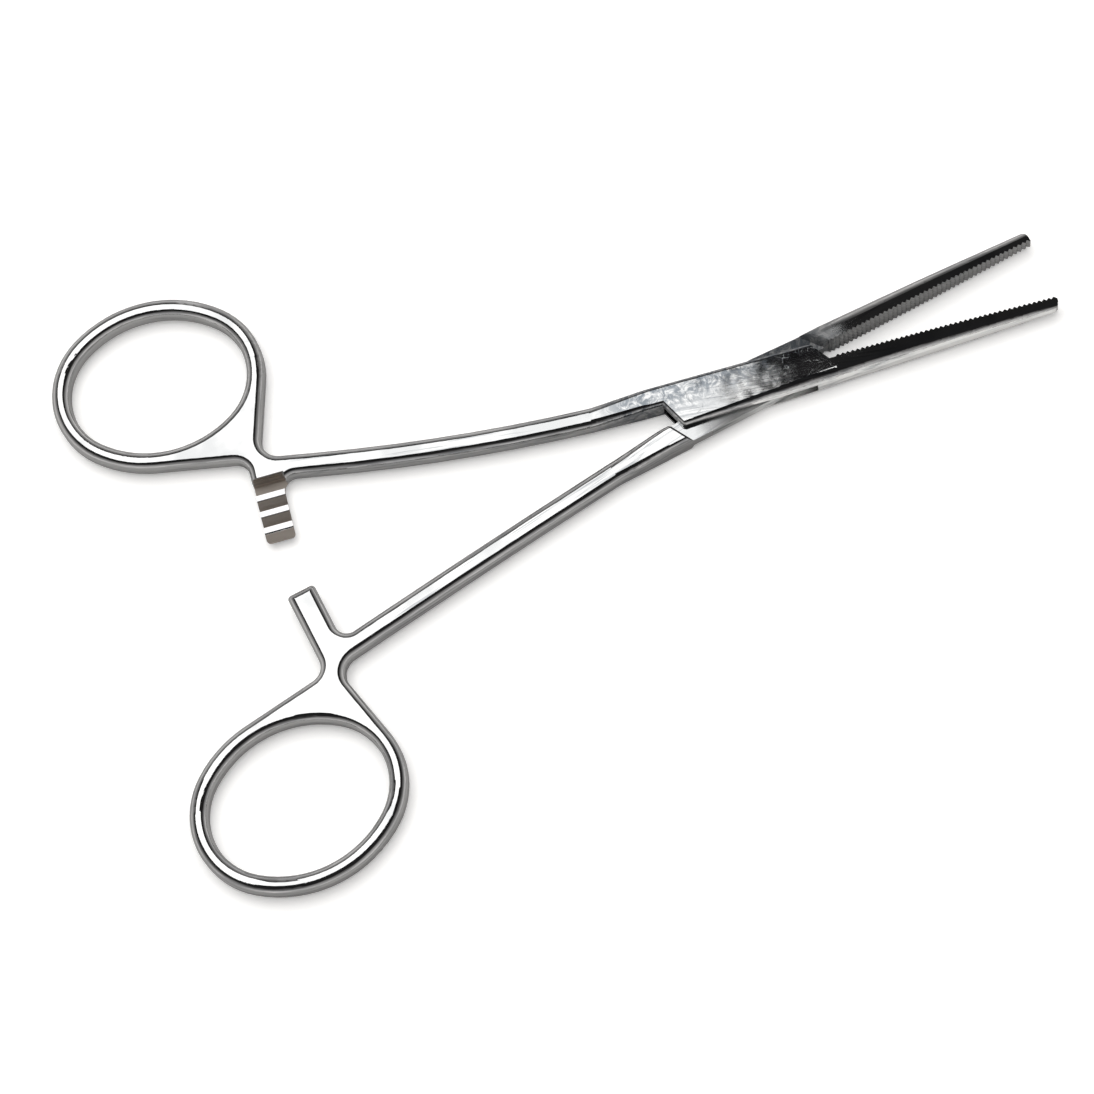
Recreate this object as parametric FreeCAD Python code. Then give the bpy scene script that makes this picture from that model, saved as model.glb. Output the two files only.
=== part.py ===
import FreeCAD, Part
import math
import os

# Hemostat forceps, lying flat, jaws towards +X. Millimetres, +Z up.
# Three real pieces: the half with the box, the half that passes through it, and the pin.
# Each half is drawn as it stands with the jaws shut, about the middle plane of its
# thickness, with its shank on +Y and its jaw on -Y. The insert half is then mirrored.
# Last, both are turned apart by half the opening and lifted so the box rests on z = 0.

Vec = FreeCAD.Vector
UP = Vec(0, 0, 1)
PIVOT = Vec(0, 0, 0)

# Opening
opening_angle = 12.5        # between the jaws in the stored pose, degrees
widest_opening = 60.0       # jaw angle where the insert meets the end of the slot

# Fits and clearances
pin_clearance = 0.03        # radial, pin in the insert half
slot_clearance = 0.03       # each face of the waist in the slot
seat_clearance = 0.03       # shoulder to box end, jaws shut
end_clearance = 0.05        # waist to the ends of the slot
mesh_clearance = 0.06       # between meshed serrations
ratchet_clearance = 0.06    # each ratchet crest to the middle plane

# Thicknesses, all measured from the middle plane
handle_half = 1.6
box_half_height = 2.2
waist_half = 0.9

# Finger ring, an oval of four arcs
ring_long = 12.7            # half the opening along the shank
ring_short = 10.2           # half the opening across it
ring_end_radius = 8.9
ring_band = 2.55            # width of the ring's bar
ring_along = 22.4           # ring centre from the end of the shank, along it
ring_aside = 13.95          # and off to the outer side
ring_tilt = 7.7             # long axis against the shank's end, degrees

# Handle
shank_width = 3.05
shank_root_x = -24.0        # where the shank starts to thicken towards the box
shank_end_x = -62.0
root_stations = 5
box_shank_y = 1.21          # middle line of the box half's shank at its root
box_shank_root = 2.73       # its slope there and at its end, degrees
box_shank_end = 11.1
insert_shank_y = 2.29       # the same for the insert half, which is straighter
insert_shank_root = 5.7
insert_shank_end = 6.95
web_reach = 8.3             # ring web meets the shank's outer edge here
handle_edge = 1.04          # rounding of the forged edges
armpit_radius = 2.6
web_drop = 1.2              # lower edge of the web, from the shank's middle line
web_radius = 2.3
crook_radius = 1.8

# Ratchet
rack_gap = 5.6              # from the end of the shank to the rack
rack_width = 4.1
rack_tip = -3.4             # how far it reaches past the middle line
rack_tip_radius = 0.5
rack_step = 5.9             # where the full thickness ends
rack_step_slope = 0.7
ratchet_pitch = 2.45
ratchet_first = 3.8
ratchet_crest = 0.8
ratchet_lean = 0.1          # slope of a tooth's steep side, in plan
ratchet_depth = 0.65
ratchet_teeth = 3
ratchet_side = 0.6          # how far the step runs past the rack's sides

# Box
box_back = -15.5            # thickening ends
notch_x = -13.9             # box end at the shank, inner corner
corner_x = -11.9            # box end at the shank, outer corner
box_outer = 2.8
box_inner = -3.9
throat_x = 10.5             # the jaw section begins
seat_outer_x = 7.7          # box end at the jaws, outer corner
seat_inner_x = 9.9          # box end at the jaws, inner corner
box_edge = 0.6
jaw_inner_edge = 0.1
parting = 0.15              # where the shut shanks meet, below the middle line

# Waist of the insert half and the slot around it
hub_radius = 3.3
waist_outer = 3.45
neck_tip = 2.95             # waist's half width at the jaw shoulder
slot_end_radius = 8.05
throat_angle = 1.5          # degrees below the middle line
waist_corner = 22.5         # where its outer edge runs into the arc, degrees
ramp_shank = 0.7            # shoulder slope, in plan
ramp_jaw = 1.1
neck_rise = 1.0             # where the neck turns in to the jaw, below the middle line
shoulder_run = 2.0          # full-thickness stock past the box's outer corner
jaw_root_run = 3.0          # the same at the jaw, before the relief is cut

# Pin
pin_radius = 1.5

# Jaws
jaw_tip_x = 42.4
jaw_tip_radius = 1.1
jaw_root_width = 3.0
jaw_tip_width = 1.65
jaw_root_half = 2.2
jaw_tip_half = 1.05
jaw_root_round = 1.5
throat_step = 0.08          # the box's rounding stops this much short of the jaw's
jaw_tip_round = 0.85
jaw_bulge = 0.25            # extra thickness at mid-length over a straight taper
jaw_stations = 5
serration_pitch = 0.7
serration_depth = 0.3
serration_count = 45
serration_start = 10.8
serration_land = 0.01       # plain face before the first groove

# Sizes of cutting shapes only
REACH = 200.0               # longer than anything it has to pass
BESIDE = 8.0                # past both sides of the box, in plan
THROUGH = 5.0               # past both faces
BEYOND = 2.0                # how far a cutter runs past what it trims
NEAR = 0.1                  # a corner this close to a named point is that corner

rack_near = rack_gap - shank_end_x
rack_far = rack_near + rack_width
mouth_x = seat_inner_x + 2 * ramp_jaw


def polar(radius, degrees):
    a = math.radians(degrees)
    return Vec(radius * math.cos(a), radius * math.sin(a), 0)


def drum(radius, centre):
    """An upright cylinder that passes through everything."""
    return Part.makeCylinder(radius, 2 * THROUGH, centre - UP * THROUGH, UP)


def line(a, b):
    return Part.LineSegment(a, b).toShape()


def rectangle(left, low, right, high):
    return [(left, low), (right, low), (right, high), (left, high)]


def prism(points, low, high):
    """A straight-sided block over a plan outline."""
    corners = [Vec(p[0], p[1], low) for p in points]
    face = Part.Face(Part.makePolygon(corners + corners[:1]))
    return face.extrude(Vec(0, 0, high - low))


def frustum(low_points, low, high_points, high):
    """A block that changes size between two heights."""
    wires = []
    for points, z in ((low_points, low), (high_points, high)):
        corners = [Vec(p[0], p[1], z) for p in points]
        wires.append(Part.makePolygon(corners + corners[:1]))
    return Part.makeLoft(wires, True, True)


def edges_near(shape, spots):
    """Upright edges that pass close to the given plan points."""
    found = []
    for edge in shape.Edges:
        a, b = edge.Vertexes[0].Point, edge.Vertexes[-1].Point
        if math.hypot(a.x - b.x, a.y - b.y) > 1e-6:
            continue
        if any(math.hypot(a.x - s.x, a.y - s.y) < NEAR for s in spots):
            found.append(edge)
    return found


def off_line(a, b, spot):
    """Distance of a plan point from the stretch between two others."""
    run = Vec(b[0] - a[0], b[1] - a[1], 0)
    out = Vec(spot.x - a[0], spot.y - a[1], 0)
    share = min(1, max(0, run.dot(out) / run.dot(run)))
    return (out - run * share).Length


def runs_on(edge, a, b):
    """True for a level edge that runs between two plan points."""
    spots = [edge.valueAt(edge.FirstParameter), edge.valueAt(edge.LastParameter)]
    level = edge.BoundBox.ZLength < 1e-6
    return level and max(off_line(a, b, spot) for spot in spots) < NEAR


def rim_edges(shape, half, end):
    """Edges of the top and bottom faces, but not those of the end that carries on."""
    found = []
    for edge in shape.Edges:
        box = edge.BoundBox
        flat = box.ZLength < 1e-6 and abs(abs(box.ZMin) - half) < 1e-6
        if flat and not runs_on(edge, *end):
            found.append(edge)
    return found


def oval_side(long_half, short_half, end_radius):
    """Radius of the long arcs that join two end arcs smoothly."""
    over = long_half ** 2 - 2 * long_half * end_radius + short_half ** 2
    return over / (2 * (short_half - end_radius))


def oval(long_half, short_half, end_radius):
    """Closed wire of four tangent arcs, long axis on X, centred on the origin."""
    rest = long_half - end_radius
    side_radius = oval_side(long_half, short_half, end_radius)
    drop = side_radius - short_half
    turn = math.degrees(math.atan2(drop, rest))
    circles = ((rest, 0, end_radius, -turn, turn),
               (0, -drop, side_radius, turn, 180 - turn),
               (-rest, 0, end_radius, 180 - turn, 180 + turn),
               (0, drop, side_radius, 180 + turn, 360 - turn))
    arcs = []
    for x, y, radius, start, stop in circles:
        centre = Vec(x, y, 0)
        middle = (start + stop) / 2
        ends = [centre + polar(radius, a) for a in (start, middle, stop)]
        arcs.append(Part.Arc(*ends).toShape())
    return Part.Wire(arcs)


def tangent_point(centre, radius, start, side):
    """Where the line from a point touches a circle, on the chosen side."""
    away = start - centre
    lean = math.degrees(math.acos(radius / away.Length))
    facing = math.degrees(math.atan2(away.y, away.x))
    return centre + polar(radius, facing + side * lean)


class Shank:
    """The bowed bar between box and ring, as one arc, and the frame at its end."""

    def __init__(self, root_y, root_angle, end_angle):
        a, b = math.radians(root_angle), math.radians(end_angle)
        self.radius = (shank_root_x - shank_end_x) / (math.sin(b) - math.sin(a))
        self.centre = Vec(shank_root_x, root_y, 0)
        self.centre += Vec(self.radius * math.sin(a), self.radius * math.cos(a), 0)
        self.start, self.stop = a, b
        self.along = Vec(-math.cos(b), math.sin(b), 0)
        self.aside = Vec(math.sin(b), math.cos(b), 0)
        self.heading = math.degrees(math.atan2(self.along.y, self.along.x))
        self.end = self.point(b, 0)

    def point(self, angle, offset):
        out = self.radius - offset
        drop = Vec(-out * math.sin(angle), -out * math.cos(angle), 0)
        return self.centre + drop

    def local(self, along, aside):
        return self.end + self.along * along + self.aside * aside

    def edge(self, offset):
        middle = (self.start + self.stop) / 2
        spots = [self.point(a, offset) for a in (self.start, middle, self.stop)]
        return Part.Arc(*spots).toShape()

    def root_end(self):
        """Plan points of the end face that the box carries on from."""
        half = shank_width / 2
        return self.point(self.start, half), self.point(self.start, -half)

    def band(self):
        half = shank_width / 2
        outer, inner = self.edge(half), self.edge(-half)
        closing = line(self.point(self.stop, half), self.point(self.stop, -half))
        return Part.Face(Part.Wire([outer, closing, inner, line(*self.root_end())]))


def place_ring(wire, shank):
    placed = wire.copy()
    placed.rotate(PIVOT, UP, shank.heading + ring_tilt)
    placed.translate(shank.local(ring_along, ring_aside))
    return placed


def over_rack(shank, x, aside):
    """Point at a given X on a line beside the shank's end."""
    along = (shank.end.x + shank.aside.x * aside - x) / -shank.along.x
    return shank.local(along, aside)


def web_points(shank):
    """Plan outline of web and ratchet, with the three corners to be rounded."""
    half = shank_width / 2
    heading = shank.heading + ring_tilt
    centre = shank.local(ring_along, ring_aside)
    end_centre = centre - polar(ring_long - ring_end_radius, heading)
    armpit = shank.local(web_reach, half)
    touch = tangent_point(end_centre, ring_end_radius + ring_band, armpit, 1)
    web = over_rack(shank, -rack_far, web_drop)
    side_radius = oval_side(ring_long, ring_short, ring_end_radius)
    side_centre = centre + polar(side_radius - ring_short, heading - 90)
    under = tangent_point(side_centre, side_radius + ring_band, web, -1)
    crook = over_rack(shank, -rack_near, -half)
    tips = [Vec(-rack_far, rack_tip, 0), Vec(-rack_near, rack_tip, 0)]
    outline = [shank.local(0, -half), shank.local(0, half), armpit, touch, centre, under]
    return outline + [web] + tips + [crook], armpit, web, crook


def ratchet_cutter(side):
    """All that is cut from the rack above (side +1) or below (-1) its teeth."""
    crest = -ratchet_clearance
    floor = crest - ratchet_depth
    profile = [(rack_step, box_half_height), (rack_step - rack_step_slope, floor)]
    for i in range(ratchet_teeth):
        steep = ratchet_first - i * ratchet_pitch
        profile.append((steep + ratchet_lean, floor))
        profile.append((steep, crest))
        profile.append((steep - ratchet_crest, crest))
    profile.append((rack_tip - BEYOND, floor))
    profile.append((rack_tip - BEYOND, box_half_height))
    corners = [Vec(-rack_far - ratchet_side, y, side * z) for y, z in profile]
    face = Part.Face(Part.makePolygon(corners + corners[:1]))
    return face.extrude(Vec(rack_width + 2 * ratchet_side, 0, 0))


def handle(shank, teeth_side):
    """Ring, web, ratchet and shank: one plan outline with rounded edges."""
    faces = [shank.band()]
    outer = oval(ring_long + ring_band, ring_short + ring_band, ring_end_radius + ring_band)
    faces.append(Part.Face(place_ring(outer, shank)))
    corners, armpit, web, crook = web_points(shank)
    faces.append(Part.Face(Part.makePolygon(corners + corners[:1])))
    plan = faces[0].multiFuse(faces[1:]).removeSplitter()
    body = plan.extrude(Vec(0, 0, 2 * handle_half))
    body.translate(Vec(0, 0, -handle_half))
    body = body.Solids[0]
    tips = [Vec(-rack_near, rack_tip, 0), Vec(-rack_far, rack_tip, 0)]
    for radius, spots in ((armpit_radius, [armpit]), (crook_radius, [crook]),
                          (web_radius, [web]), (rack_tip_radius, tips)):
        body = body.makeFillet(radius, edges_near(body, spots))
    hole = Part.Face(place_ring(oval(ring_long, ring_short, ring_end_radius), shank))
    hole = hole.extrude(Vec(0, 0, 4 * handle_half))
    hole.translate(Vec(0, 0, -2 * handle_half))
    body = body.cut(hole)
    body = body.makeFillet(handle_edge, rim_edges(body, handle_half, shank.root_end()))
    return body.cut(ratchet_cutter(teeth_side))


def section(x, low, high, half, low_round, high_round):
    """Upright section across X: flat top and bottom, rounded at each side."""
    spots = ((high, -half, high_round, 1, -1), (high, half, high_round, 1, 1),
             (low, half, low_round, -1, 1), (low, -half, low_round, -1, -1))
    edges = []
    ends = []
    slant = math.sqrt(0.5)
    for y, z, r, sy, sz in spots:
        side = Vec(x, y, z - sz * r)
        face = Vec(x, y - sy * r, z)
        inset = r * (1 - slant)
        middle = Vec(x, y - sy * inset, z - sz * inset)
        pair = (side, face) if sy == sz else (face, side)
        edges.append(Part.Arc(pair[0], middle, pair[1]).toShape())
        ends.append(pair)
    for i in range(4):
        edges.append(line(ends[i][1], ends[(i + 1) % 4][0]))
    return Part.Wire(Part.__sortEdges__(edges))


def shank_root(shank, inner, outer):
    """The shank's last stretch, thickening smoothly from the handle to the box."""
    y = shank.point(shank.start, 0).y
    low, high = y - shank_width / 2, y + shank_width / 2
    wires = []
    for i in range(root_stations):
        share = i / (root_stations - 1)
        swell = share * share * (3 - 2 * share)
        x = shank_root_x + share * (box_back - shank_root_x)
        half = handle_half + swell * (box_half_height - handle_half)
        rounding = handle_edge + share * (box_edge - handle_edge)
        wires.append(section(x, low + share * (inner - low), high + share * (outer - high),
                             half, rounding, rounding))
    wires[0].rotate(Vec(shank_root_x, y, 0), UP, -math.degrees(shank.start))
    return Part.makeLoft(wires, True, False)


def jaw_taper(share):
    """Width, half thickness and rounding of the jaw at a share of its length."""
    width = jaw_root_width + share * (jaw_tip_width - jaw_root_width)
    half = jaw_root_half + share * (jaw_tip_half - jaw_root_half)
    half += jaw_bulge * math.sin(math.pi * share)
    rounding = jaw_root_round + share * (jaw_tip_round - jaw_root_round)
    return width, half, rounding


def serration_line(offset):
    """Zigzag along the jaw, at a height above the middle line."""
    spots = []
    for i in range(serration_count):
        x = serration_start + i * serration_pitch
        spots.append((x, offset - serration_depth / 2))
        spots.append((x + serration_pitch / 2, offset + serration_depth / 2))
    last = serration_start + serration_count * serration_pitch
    spots.append((last, offset - serration_depth / 2))
    return spots


def jaw(start_x, mirrored):
    """One jaw from the throat to the tip, with its serrated face."""
    top = serration_depth / 2
    wires = []
    for i in range(jaw_stations):
        share = i / (jaw_stations - 1)
        x = throat_x + share * (jaw_tip_x - throat_x)
        width, half, rounding = jaw_taper(share)
        wires.append(section(x, -width, top, half, rounding, jaw_inner_edge))
    body = Part.makeLoft(wires, True, False)
    if start_x < throat_x:
        width, half, rounding = jaw_taper(0)
        back = section(start_x, -width, top, half, rounding, jaw_inner_edge)
        body = body.fuse(Part.makeLoft([back, wires[0]], True, True))
    turned = -1 if mirrored else 1
    teeth = [(x, turned * y) for x, y in serration_line(-turned * mesh_clearance / 2)]
    floor = -(serration_depth + mesh_clearance) / 2
    outline = [(0, serration_depth), (0, floor), (serration_start - serration_land, floor)]
    outline += teeth + [(REACH, teeth[-1][1]), (REACH, serration_depth)]
    return body.cut(prism(outline, -THROUGH, THROUGH))


def round_tip(body):
    """Takes the sharp outer corner off the end of the jaw."""
    width, half, rounding = jaw_taper(1)
    r = jaw_tip_radius
    x, y = jaw_tip_x, -width
    block = prism(rectangle(x - r, y - BEYOND, x + BEYOND, y + r), -THROUGH, THROUGH)
    return body.cut(block.cut(drum(r, Vec(x - r, y + r, 0))))


def box_plan():
    """Plan outline of the box, with its slanting ends."""
    inner = -parting
    floor = -(serration_depth + mesh_clearance) / 2
    jaw_back = -jaw_root_width
    return [(box_back, box_outer), (seat_outer_x, box_outer), (seat_inner_x, floor),
            (throat_x, floor), (throat_x, jaw_back), (corner_x, box_inner),
            (notch_x, inner), (box_back, inner)]


def level_edges(shape, a, b):
    """The level edges, top and bottom, that run between two plan points."""
    return [edge for edge in shape.Edges if runs_on(edge, a, b)]


def box_body():
    """The box without its slot. Its jaw side gets rounder towards the jaw."""
    body = prism(box_plan(), -box_half_height, box_half_height)
    back, notch, corner = (box_back, -parting), (notch_x, -parting), (corner_x, box_inner)
    rims = level_edges(body, (box_back, box_outer), (seat_outer_x, box_outer))
    body = body.makeFillet(box_edge, rims)
    rims = level_edges(body, corner, (throat_x, -jaw_root_width))
    radii = [box_edge, jaw_root_round - throat_step]
    if rims[0].valueAt(rims[0].FirstParameter).x > 0:
        radii.reverse()
    body = body.makeFillet(radii[0], radii[1], rims)
    rims = level_edges(body, back, notch) + level_edges(body, notch, corner)
    return body.makeFillet(box_edge, rims)


def stop_angle():
    """How far the waist turns before its neck meets the end of the slot, degrees."""
    lean = math.degrees(math.atan2(hub_radius - neck_tip, seat_outer_x))
    return widest_opening - lean


def slot():
    """The space between the cheeks: everything the waist sweeps through."""
    half = waist_half + slot_clearance
    space = prism(rectangle(notch_x, -BESIDE, mouth_x, BESIDE), -half, half)
    stop = stop_angle()
    touch = polar(hub_radius + end_clearance, 90 + stop)
    above = touch + polar(REACH, stop)
    low = -parting + end_clearance
    shank_end = [(touch.x, touch.y), (above.x, above.y), (-REACH, REACH), (-REACH, low),
                 (notch_x, low)]
    space = space.cut(prism(shank_end, -THROUGH, THROUGH))
    throat = polar(REACH, -throat_angle)
    jaw_end = prism([(0, 0), (throat.x, throat.y), (REACH, -REACH), (0, -REACH)],
                    -THROUGH, THROUGH)
    return space.cut(jaw_end.cut(drum(slot_end_radius, PIVOT)))


def box_half():
    shank = Shank(box_shank_y, box_shank_root, box_shank_end)
    body = handle(shank, 1)
    body = body.fuse(shank_root(shank, -parting, box_outer))
    body = body.fuse(box_body())
    body = body.fuse(round_tip(jaw(throat_x, False)))
    body = body.removeSplitter()
    return body.cut(slot()).cut(drum(pin_radius, PIVOT))


def seat_line(a, b, y):
    """X of the line through two plan points at a given Y."""
    return a[0] + (y - a[1]) * (b[0] - a[0]) / (b[1] - a[1])


def level_gap(a, b):
    """The seats' clearance, square to the line, measured along X."""
    return seat_clearance * math.hypot(b[0] - a[0], b[1] - a[1]) / abs(b[1] - a[1])


def relief(side):
    """What is cut from one face of the insert half to leave its thin waist."""
    back = ((notch_x, parting), (corner_x, -box_inner))
    front = ((seat_outer_x, -box_outer), (seat_inner_x, parting))
    outlines = []
    for share in (0, 1):
        spots = []
        for y in (-BESIDE, BESIDE):
            spots.append((seat_line(*back, y) - level_gap(*back) - share * ramp_shank, y))
        for y in (BESIDE, -BESIDE):
            spots.append((seat_line(*front, y) + level_gap(*front) + share * ramp_jaw, y))
        outlines.append(spots)
    return frustum(outlines[0], side * waist_half, outlines[1], side * box_half_height)


def waist():
    """The thin plate that turns in the slot, ending in arcs about the pivot."""
    inner = parting + seat_clearance
    stop = stop_angle()
    hub_end = polar(hub_radius, -90 - stop)
    hub_mid = polar(hub_radius, -90 - stop / 2)
    hub_start = Vec(0, -hub_radius, 0)
    radius = slot_end_radius - end_clearance
    corner = polar(radius, waist_corner)
    throat = polar(radius, throat_angle / 2)
    arc_mid = polar(radius, (waist_corner + throat_angle / 2) / 2)
    mouth = polar(seat_inner_x, throat_angle / 2)
    back = Vec(box_back, inner, 0)
    outer = Vec(box_back, waist_outer, 0)
    edges = [line(back, outer), line(outer, Vec(0, waist_outer, 0)),
             line(Vec(0, waist_outer, 0), corner),
             Part.Arc(corner, arc_mid, throat).toShape(),
             line(throat, mouth), line(mouth, Vec(seat_inner_x, -neck_rise, 0)),
             line(Vec(seat_inner_x, -neck_rise, 0), Vec(seat_outer_x, -neck_tip, 0)),
             line(Vec(seat_outer_x, -neck_tip, 0), hub_start),
             Part.Arc(hub_start, hub_mid, hub_end).toShape(),
             line(hub_end, Vec(notch_x, inner, 0)), line(Vec(notch_x, inner, 0), back)]
    plate = Part.Face(Part.Wire(edges)).extrude(Vec(0, 0, 2 * waist_half))
    plate.translate(Vec(0, 0, -waist_half))
    return plate


def shoulder(inner):
    """Full-thickness stock behind the waist, before the relief is cut."""
    ends = []
    for x in (box_back, corner_x + shoulder_run):
        ends.append(section(x, inner, waist_outer, box_half_height, box_edge, box_edge))
    return Part.makeLoft(ends, True, True)


def insert_half():
    shank = Shank(insert_shank_y, insert_shank_root, insert_shank_end)
    inner = parting + seat_clearance
    body = handle(shank, -1)
    body = body.fuse(shank_root(shank, inner, waist_outer))
    body = body.fuse(shoulder(inner))
    body = body.fuse(round_tip(jaw(seat_outer_x - jaw_root_run, True)))
    body = body.cut(relief(1)).cut(relief(-1))
    body = body.fuse(waist()).removeSplitter()
    body = body.cut(drum(pin_radius + pin_clearance, PIVOT))
    return body.mirror(PIVOT, Vec(0, 1, 0))


def pivot_pin():
    return Part.makeCylinder(pin_radius, 2 * box_half_height, Vec(0, 0, -box_half_height), UP)


def store(name, shape, turn):
    placed = shape.copy()
    placed.rotate(PIVOT, UP, turn)
    placed.translate(Vec(0, 0, box_half_height))
    placed.exportStep("parts/" + name + ".step")


os.makedirs("parts", exist_ok=True)
half_turn = opening_angle / 2
store("box_half", box_half(), -half_turn)
store("insert_half", insert_half(), half_turn)
store("pivot_pin", pivot_pin(), 0)
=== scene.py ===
import math

import bpy
from mathutils import Matrix, Vector

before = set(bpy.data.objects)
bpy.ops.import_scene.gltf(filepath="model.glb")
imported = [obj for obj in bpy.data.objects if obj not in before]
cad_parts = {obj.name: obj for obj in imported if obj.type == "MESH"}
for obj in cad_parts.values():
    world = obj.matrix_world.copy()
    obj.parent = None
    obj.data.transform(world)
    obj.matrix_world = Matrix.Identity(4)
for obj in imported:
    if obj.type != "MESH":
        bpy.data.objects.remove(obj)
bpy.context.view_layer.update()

MM = 0.001

# Where the photograph was taken from: nearly overhead, a little to the front, and rolled. The lens
# follows from the photograph's scale at the target and its side.
VIEW_ELEVATION = 70.10
VIEW_AZIMUTH = -3.26
VIEW_ROLL = -18.36
VIEW_DISTANCE = 490 * MM
VIEW_TARGET = Vector((-35.88, -11.12, 2.2)) * MM
PIXELS_PER_MM = 7.298
PHOTO_SIDE = 1094
SENSOR = 36

# The paper under the forceps, all in metres. The card's far edge follows the near jaw's outer side.
FLOOR_LIFT = 0.26           # light added to the paper, for the lens only
TABLE_REACH = 3.0
CARD_LEFT, CARD_RIGHT, CARD_FRONT = -0.002, 0.046, -0.04
CARD_FAR_LEFT, CARD_FAR_RIGHT = -0.0030, -0.0063
CARD_THICKNESS = 0.02 * MM


def linear(hex_colour):
    """An sRGB hex value as the linear colour that Blender's sockets take."""
    channels = [int(hex_colour[place:place + 2], 16) / 255 for place in (1, 3, 5)]
    return [c / 12.92 if c <= 0.04045 else ((c + 0.055) / 1.055) ** 2.4 for c in channels] + [1]


def add(tree, kind, place=(0, 0), **sockets):
    """Adds a node. A socket named in the call is linked when its value is a socket, or set when it is a
    value; a name that is one of the node's own settings is set there."""
    node = tree.nodes.new(kind)
    node.location = place
    for name, value in sockets.items():
        if hasattr(node, name) and not name[0].isupper():
            setattr(node, name, value)
            continue
        key = int(name[3:]) if name.startswith("in_") else name.replace("_", " ")
        socket = node.inputs[key]
        if isinstance(value, bpy.types.NodeSocket):
            tree.links.new(value, socket)
        else:
            socket.default_value = value
    return node


def direction(azimuth, elevation):
    """A unit vector towards a place in the studio, in degrees."""
    a, e = math.radians(azimuth), math.radians(elevation)
    return Vector((math.sin(a) * math.cos(e), -math.cos(a) * math.cos(e), math.sin(e)))


def camera():
    back = direction(VIEW_AZIMUTH, VIEW_ELEVATION)
    right = (-back).cross(Vector((0, 0, 1))).normalized()
    up = right.cross(-back)
    roll = math.radians(VIEW_ROLL)
    across = math.cos(roll) * right + math.sin(roll) * up
    upright = -math.sin(roll) * right + math.cos(roll) * up
    data = bpy.data.cameras.new("photo_camera")
    data.sensor_width = SENSOR
    data.lens = PIXELS_PER_MM / MM * VIEW_DISTANCE / PHOTO_SIDE * SENSOR
    data.clip_start = 0.01
    made = bpy.data.objects.new("photo_camera", data)
    bpy.context.scene.collection.objects.link(made)
    turn = Matrix((across, upright, back)).transposed().to_4x4()
    made.matrix_world = Matrix.Translation(VIEW_TARGET + back * VIEW_DISTANCE) @ turn
    bpy.context.scene.camera = made


def level_softbox(name, left, right, front, back, height, radiance, mirrored=True):
    """A soft lamp that lies level over the object, as bright to the eye as its radiance."""
    data = bpy.data.lights.new(name, "AREA")
    data.shape = "RECTANGLE"
    data.size, data.size_y = right - left, back - front
    data.energy = radiance * math.pi * data.size * data.size_y
    lamp = bpy.data.objects.new(name, data)
    bpy.context.scene.collection.objects.link(lamp)
    lamp.location = ((left + right) / 2, (front + back) / 2, height)
    lamp.visible_camera = False
    lamp.visible_glossy = mirrored


def studio_world():
    """A white room low down under a dark ceiling, so that steel has something to mirror. The lens sees plain
    white."""
    world = bpy.data.worlds.new("studio_room")
    bpy.context.scene.world = world
    world.use_nodes = True
    tree = world.node_tree
    tree.nodes.clear()
    where = add(tree, "ShaderNodeTexCoord")
    split = add(tree, "ShaderNodeSeparateXYZ", Vector=where.outputs["Generated"])
    room = add(tree, "ShaderNodeValToRGB", Fac=split.outputs["Z"])
    ramp = room.color_ramp
    ramp.elements[0].position, ramp.elements[0].color = 0.0, (0.72, 0.70, 0.69, 1)
    ramp.elements[1].position, ramp.elements[1].color = 1.0, (0.015, 0.015, 0.016, 1)
    for position, level in ((0.12, 0.60), (0.35, 0.44), (0.60, 0.22), (0.84, 0.015)):
        stop = ramp.elements.new(position)
        stop.color = (level * 1.02, level, level, 1)
    seen = add(tree, "ShaderNodeLightPath")
    plain = add(tree, "ShaderNodeMix", data_type="RGBA", in_0=seen.outputs["Is Camera Ray"],
                in_6=room.outputs["Color"], in_7=(1, 1, 1, 1))
    back = add(tree, "ShaderNodeBackground", Color=plain.outputs[2])
    add(tree, "ShaderNodeOutputWorld", Surface=back.outputs[0])


def sheet(name, corners, height, mirrored):
    """A flat sheet that keeps the shadow. To the lens it is white paper, a touch brighter than lit; steel and
    light see its own colour."""
    made = bpy.data.materials.new(name)
    made.use_nodes = True
    tree = made.node_tree
    tree.nodes.clear()
    seen = add(tree, "ShaderNodeLightPath").outputs["Is Camera Ray"]
    paper = add(tree, "ShaderNodeMix", data_type="RGBA", in_0=seen, in_6=linear(mirrored),
                in_7=linear("#F7F6F4"))
    lit = add(tree, "ShaderNodeBsdfDiffuse", Color=paper.outputs[2])
    lift = add(tree, "ShaderNodeMath", operation="MULTIPLY", in_0=seen, in_1=FLOOR_LIFT)
    glow = add(tree, "ShaderNodeEmission", Color=(1, 1, 1, 1), Strength=lift.outputs[0])
    both = add(tree, "ShaderNodeAddShader", in_0=lit.outputs[0], in_1=glow.outputs[0])
    add(tree, "ShaderNodeOutputMaterial", Surface=both.outputs[0])
    mesh = bpy.data.meshes.new(name)
    mesh.from_pydata([(x, y, height) for x, y in corners], [], [(0, 1, 2, 3)])
    mesh.materials.append(made)
    laid = bpy.data.objects.new(name, mesh)
    bpy.context.scene.collection.objects.link(laid)


def between(tree, value, low, high, soft):
    """1 where a value lies between two others, 0 well outside, with soft ends."""
    rise = add(tree, "ShaderNodeMapRange", interpolation_type="SMOOTHSTEP", Value=value,
               From_Min=low - soft, From_Max=low + soft)
    fall = add(tree, "ShaderNodeMapRange", interpolation_type="SMOOTHSTEP", Value=value,
               From_Min=high - soft, From_Max=high + soft, To_Min=1, To_Max=0)
    both = add(tree, "ShaderNodeMath", operation="MULTIPLY", in_0=rise.outputs[0], in_1=fall.outputs[0])
    return both.outputs[0]


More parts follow.
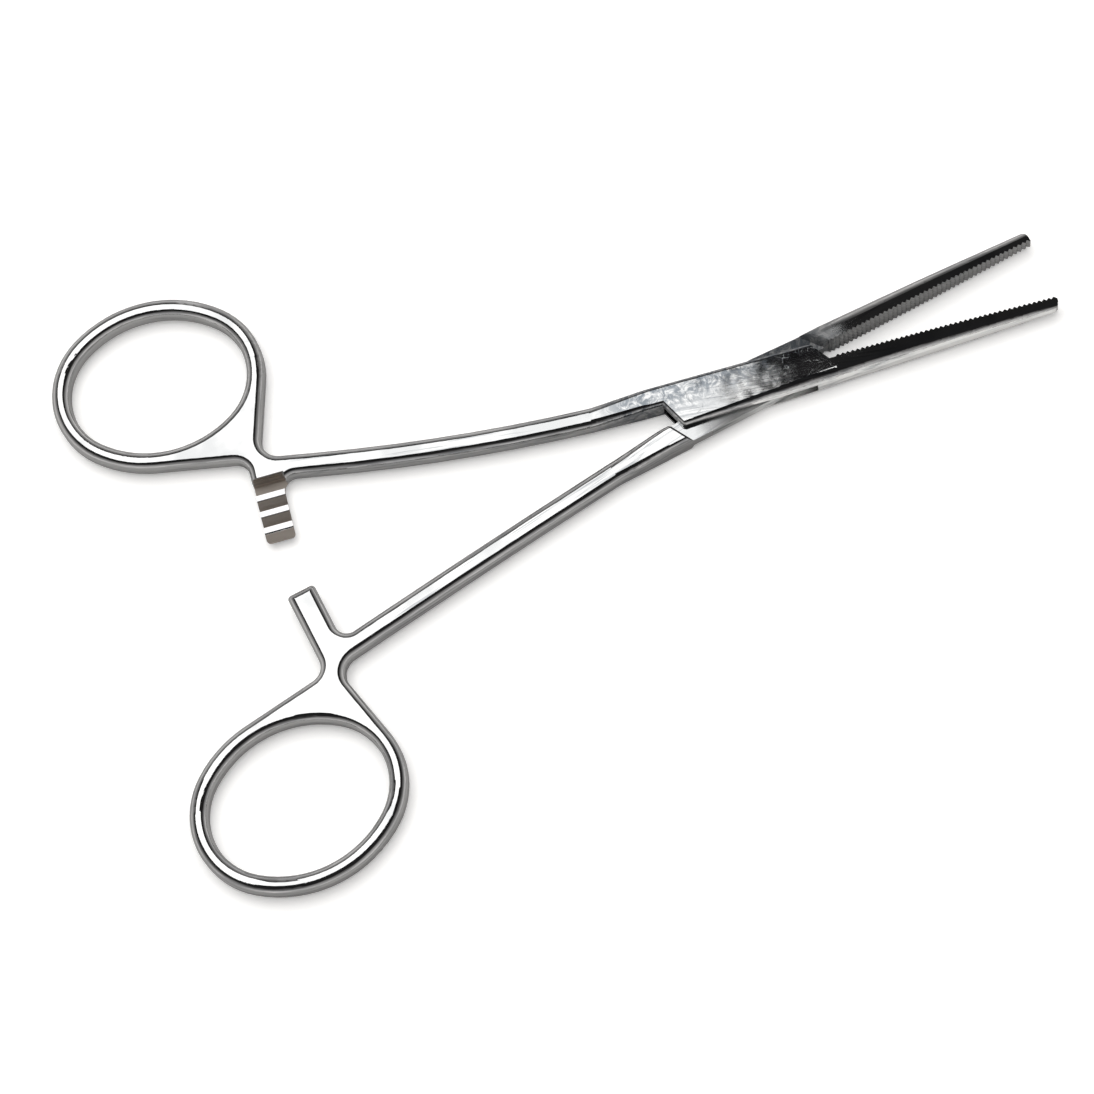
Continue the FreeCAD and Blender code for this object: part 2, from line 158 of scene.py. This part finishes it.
def polished_steel(name, shank_lean, worn_from, worn_to, worn_roughness):
    """Stainless steel, forged, ground and polished by hand on a wheel. The eye gets a bright, slightly uneven
    mirror with fine strokes along the shanks, a cloudy and scratched box, and milled grooves left dull. The
    half that goes through the box keeps the dull ground faces of its waist. The shank leans against X by
    shank_lean degrees, and the stretch of X from worn_from to worn_to is the worn one."""
    made = bpy.data.materials.new(name)
    made.use_nodes = True
    tree = made.node_tree
    tree.nodes.clear()
    where = add(tree, "ShaderNodeTexCoord").outputs["Object"]
    place = add(tree, "ShaderNodeSeparateXYZ", Vector=where).outputs
    on_box = between(tree, place["X"], worn_from, worn_to, 4 * MM)

    # Wheel strokes: hair lines 0.2 mm wide and about 8 mm long, along the shank.
    along = add(tree, "ShaderNodeVectorRotate", rotation_type="Z_AXIS", Vector=where,
                Angle=math.radians(shank_lean)).outputs[0]
    stretched = add(tree, "ShaderNodeMapping", Vector=along, Scale=(120, 4500, 4500)).outputs[0]
    strokes = add(tree, "ShaderNodeTexNoise", Vector=stretched, Scale=1, Detail=3, Roughness=0.6).outputs[0]
    # Streaks: grey bands 0.7 mm wide and about 15 mm long, where the wheel dragged along the shanks.
    drawn_out = add(tree, "ShaderNodeMapping", Vector=along, Scale=(65, 1600, 1600)).outputs[0]
    streaks = add(tree, "ShaderNodeTexNoise", Vector=drawn_out, Scale=1, Detail=4, Roughness=0.6).outputs[0]
    # Drag lines: bands 0.4 mm wide that follow the sides of rings and shanks, where the belt ran along them.
    layered = add(tree, "ShaderNodeMapping", Vector=where, Scale=(90, 90, 2400)).outputs[0]
    layers = add(tree, "ShaderNodeTexNoise", Vector=layered, Scale=1, Detail=3, Roughness=0.55).outputs[0]
    ribbed = add(tree, "ShaderNodeMapRange", interpolation_type="SMOOTHSTEP", Value=layers,
                 From_Min=0.48, From_Max=0.66, To_Max=0.5).outputs[0]
    # Clouds: patches 4 mm across where the wheel pressed harder.
    clouds = add(tree, "ShaderNodeTexNoise", Vector=where, Scale=240, Detail=4, Roughness=0.55).outputs[0]
    # Swirls: the same polish drawn out into curls 1 mm across, left where the last pass of the wheel missed.
    swirls = add(tree, "ShaderNodeTexNoise", Vector=where, Scale=620, Detail=6, Roughness=0.68,
                 Distortion=1.6).outputs[0]
    # Curly scratches from wiping and handling: arcs 3 mm across and 0.1 mm wide.
    bent = add(tree, "ShaderNodeTexNoise", Vector=where, Scale=300, Detail=1).outputs["Color"]
    offset = add(tree, "ShaderNodeVectorMath", operation="SCALE", in_0=bent, Scale=6 * MM).outputs[0]
    moved = add(tree, "ShaderNodeVectorMath", operation="ADD", in_0=where, in_1=offset).outputs[0]
    loops = add(tree, "ShaderNodeTexVoronoi", feature="DISTANCE_TO_EDGE", Vector=moved,
                Scale=420).outputs["Distance"]
    hair = add(tree, "ShaderNodeMapRange", interpolation_type="SMOOTHSTEP", Value=loops,
               From_Min=0.0, From_Max=0.03, To_Min=1, To_Max=0).outputs[0]
    # The arcs break off where a second, coarser noise is low, so that none of them closes.
    broken = add(tree, "ShaderNodeTexNoise", Vector=where, Scale=520, Detail=2).outputs[0]
    kept = add(tree, "ShaderNodeMapRange", interpolation_type="SMOOTHSTEP", Value=broken,
               From_Min=0.48, From_Max=0.60).outputs[0]
    hair = add(tree, "ShaderNodeMath", operation="MULTIPLY", in_0=hair, in_1=kept).outputs[0]
    scratched = add(tree, "ShaderNodeMath", operation="MULTIPLY", in_0=hair, in_1=on_box).outputs[0]

    # Milled faces: the floors between the ratchet teeth, left dull and a little brown from heat.
    rack = between(tree, place["X"], -74 * MM, -66 * MM, 0.2 * MM)
    deep = between(tree, place["Z"], 1.3 * MM, 2.10 * MM, 0.02 * MM)
    aside = add(tree, "ShaderNodeMath", operation="ABSOLUTE", in_0=place["Y"]).outputs[0]
    reach = between(tree, aside, 2.5 * MM, 13.6 * MM, 0.2 * MM)
    on_rack = add(tree, "ShaderNodeMath", operation="MULTIPLY", in_0=rack, in_1=reach).outputs[0]
    milled = add(tree, "ShaderNodeMath", operation="MULTIPLY", in_0=on_rack, in_1=deep).outputs[0]

    # The box is cloudier than the rest: blue-grey curls, most of them on its upper side.
    patches = add(tree, "ShaderNodeMapRange", interpolation_type="SMOOTHSTEP", Value=swirls,
                  From_Min=0.40, From_Max=0.68, To_Min=1, To_Max=0).outputs[0]
    upper = add(tree, "ShaderNodeMapRange", interpolation_type="SMOOTHSTEP", Value=place["Y"],
                From_Min=-2.5 * MM, From_Max=2.4 * MM, To_Min=0.0, To_Max=1.0).outputs[0]
    missed = add(tree, "ShaderNodeMath", operation="MULTIPLY", in_0=on_box, in_1=upper).outputs[0]
    cloudy = add(tree, "ShaderNodeMath", operation="MULTIPLY", in_0=patches, in_1=missed).outputs[0]
    dragged = add(tree, "ShaderNodeMapRange", interpolation_type="SMOOTHSTEP", Value=streaks,
                  From_Min=0.44, From_Max=0.70).outputs[0]
    on_shank = between(tree, place["X"], -64 * MM, 20 * MM, 5 * MM)
    on_top = add(tree, "ShaderNodeMath", operation="MULTIPLY", in_0=dragged, in_1=on_shank).outputs[0]
    smear = add(tree, "ShaderNodeMath", operation="MAXIMUM", in_0=on_top, in_1=ribbed).outputs[0]
    steel_tint = add(tree, "ShaderNodeMix", data_type="RGBA", in_0=smear, in_6=linear("#E4E4E3"),
                     in_7=linear("#A9ABAD")).outputs[2]
    tint = add(tree, "ShaderNodeMix", data_type="RGBA", in_0=cloudy, in_6=steel_tint,
               in_7=linear("#7E848A")).outputs[2]
    colour = add(tree, "ShaderNodeMix", data_type="RGBA", in_0=milled, in_6=tint,
                 in_7=linear("#DAD0C6")).outputs[2]

    # Each mark adds its own roughness to the wheel's uneven polish.
    rough = add(tree, "ShaderNodeMapRange", Value=clouds, From_Min=0.35, From_Max=0.65,
                To_Min=0.03, To_Max=0.07).outputs[0]
    for mark, added in ((on_box, worn_roughness), (strokes, 0.02), (scratched, 0.12), (milled, 0.50)):
        rough = add(tree, "ShaderNodeMath", operation="MULTIPLY_ADD", in_0=mark, in_1=added,
                    in_2=rough).outputs[0]
    # The belt's bands are shallow hollows: they make the dark lines along the rounded edges waver a little.
    banded = add(tree, "ShaderNodeBump", Strength=0.5, Distance=0.12 * MM, Height=layers)
    bump = add(tree, "ShaderNodeBump", Strength=0.2, Distance=0.02 * MM, Height=strokes,
               Normal=banded.outputs[0])
    steel = add(tree, "ShaderNodeBsdfPrincipled", Metallic=1.0, Base_Color=colour, Roughness=rough,
                Normal=bump.outputs[0])
    add(tree, "ShaderNodeOutputMaterial", Surface=steel.outputs[0])
    return made


camera()
studio_world()
# The first lamp is the white that rings and shanks mirror. Its right edge falls on the box, so the jaws
# stay dark. The second one only lights the page.
level_softbox("mirrored_softbox", left=-0.32, right=0.072, front=0.06, back=0.50, height=0.8, radiance=1.5)
level_softbox("page_softbox", left=-0.55, right=0.45, front=-0.30, back=0.70, height=0.9, radiance=2.7,
              mirrored=False)
sheet("grey_table", [(-TABLE_REACH, -TABLE_REACH), (TABLE_REACH, -TABLE_REACH), (TABLE_REACH, TABLE_REACH),
                     (-TABLE_REACH, TABLE_REACH)], 0, "#A6A5A4")
# A white card lies on the table along the outer side of the near jaw, which mirrors it as a bright band.
sheet("white_card", [(CARD_LEFT, CARD_FRONT), (CARD_RIGHT, CARD_FRONT), (CARD_RIGHT, CARD_FAR_RIGHT),
                     (CARD_LEFT, CARD_FAR_LEFT)], CARD_THICKNESS, "#F7F6F4")

polished = polished_steel("wheel_polished_steel", 13, -21 * MM, 11 * MM, 0.0)
part_ground = polished_steel("part_ground_steel", -12.6, -8 * MM, 11 * MM, 0.60)
for name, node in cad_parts.items():
    for place in range(len(node.material_slots)):
        node.material_slots[place].material = part_ground if name == "insert_half" else polished

scene = bpy.context.scene
scene.view_settings.view_transform = "Standard"
